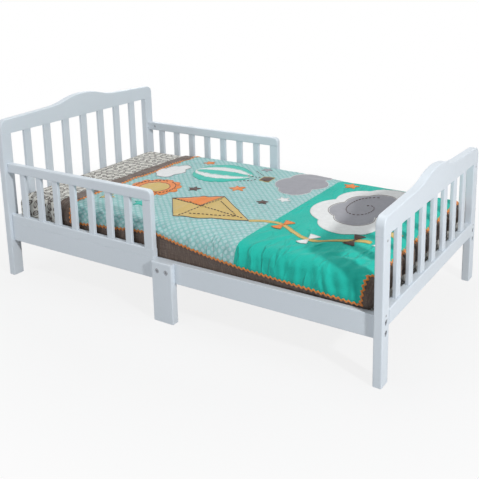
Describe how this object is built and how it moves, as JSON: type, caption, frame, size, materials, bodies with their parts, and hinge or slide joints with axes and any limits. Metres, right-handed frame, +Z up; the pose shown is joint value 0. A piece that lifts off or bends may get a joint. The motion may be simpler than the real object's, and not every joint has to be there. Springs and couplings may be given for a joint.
{
  "type": "toddler bed",
  "caption": "Low white slatted wooden bed for a small child, with humped headboard and footboard, side guards on the head half, mattress, fitted sheet and bordered quilt.",
  "frame": {"origin": "on the floor under the middle of the bed", "axes": "+X towards the footboard, +Z up, -Y the side that the picture shows"},
  "size_m": [1.386, 0.788, 0.585],
  "materials": {
    "white_paint": "satin",
    "pine": "matte",
    "beech": "matte",
    "zinc_steel": "satin",
    "mattress_cover": "matte",
    "sheet_cotton": "matte",
    "quilt_cotton": "matte"
  },
  "bodies": {
    "bed_frame": {"back_center_leg": "white_paint", "back_guard_bottom_rail": "white_paint", "back_guard_end_post": "white_paint", "back_guard_slats": "white_paint", "back_guard_top_rail": "white_paint", "back_ledger": "pine", "back_side_rail": "white_paint", "barrel_nuts": "zinc_steel", "bed_bolts": "zinc_steel", "crest_dowels": "beech", "deck_screws": "zinc_steel", "deck_slat_1": "pine", "deck_slat_10": "pine", "deck_slat_2": "pine", "deck_slat_3": "pine", "deck_slat_4": "pine", "deck_slat_5": "pine", "deck_slat_6": "pine", "deck_slat_7": "pine", "deck_slat_8": "pine", "deck_slat_9": "pine", "dowel_pins": "white_paint", "footboard_back_post": "white_paint", "footboard_crest_rail": "white_paint", "footboard_front_post": "white_paint", "footboard_lower_rail": "white_paint", "footboard_slat_1": "white_paint", "footboard_slat_2": "white_paint", "footboard_slat_3": "white_paint", "footboard_slat_4": "white_paint", "footboard_slat_5": "white_paint", "footboard_slat_6": "white_paint", "footboard_slat_7": "white_paint", "front_center_leg": "white_paint", "front_guard_bottom_rail": "white_paint", "front_guard_end_post": "white_paint", "front_guard_slats": "white_paint", "front_guard_top_rail": "white_paint", "front_ledger": "pine", "front_side_rail": "white_paint", "guard_dowels": "beech", "guard_screws": "zinc_steel", "headboard_back_post": "white_paint", "headboard_crest_rail": "white_paint", "headboard_front_post": "white_paint", "headboard_lower_rail": "white_paint", "headboard_slat_1": "white_paint", "headboard_slat_2": "white_paint", "headboard_slat_3": "white_paint", "headboard_slat_4": "white_paint", "headboard_slat_5": "white_paint", "headboard_slat_6": "white_paint", "headboard_slat_7": "white_paint", "ledger_screws": "zinc_steel", "leg_bolts": "zinc_steel", "leg_nuts": "zinc_steel", "lower_rail_dowels": "beech"},
    "mattress_body": {"mattress": "mattress_cover", "fitted_sheet": "sheet_cotton", "quilt": "quilt_cotton"}
  },
  "joints": [
    {"name": "mattress_lift", "type": "slide", "parent": "bed_frame", "child": "mattress_body", "axis": [0, 0, 1], "range_m": [0, 0.45]}
  ]
}
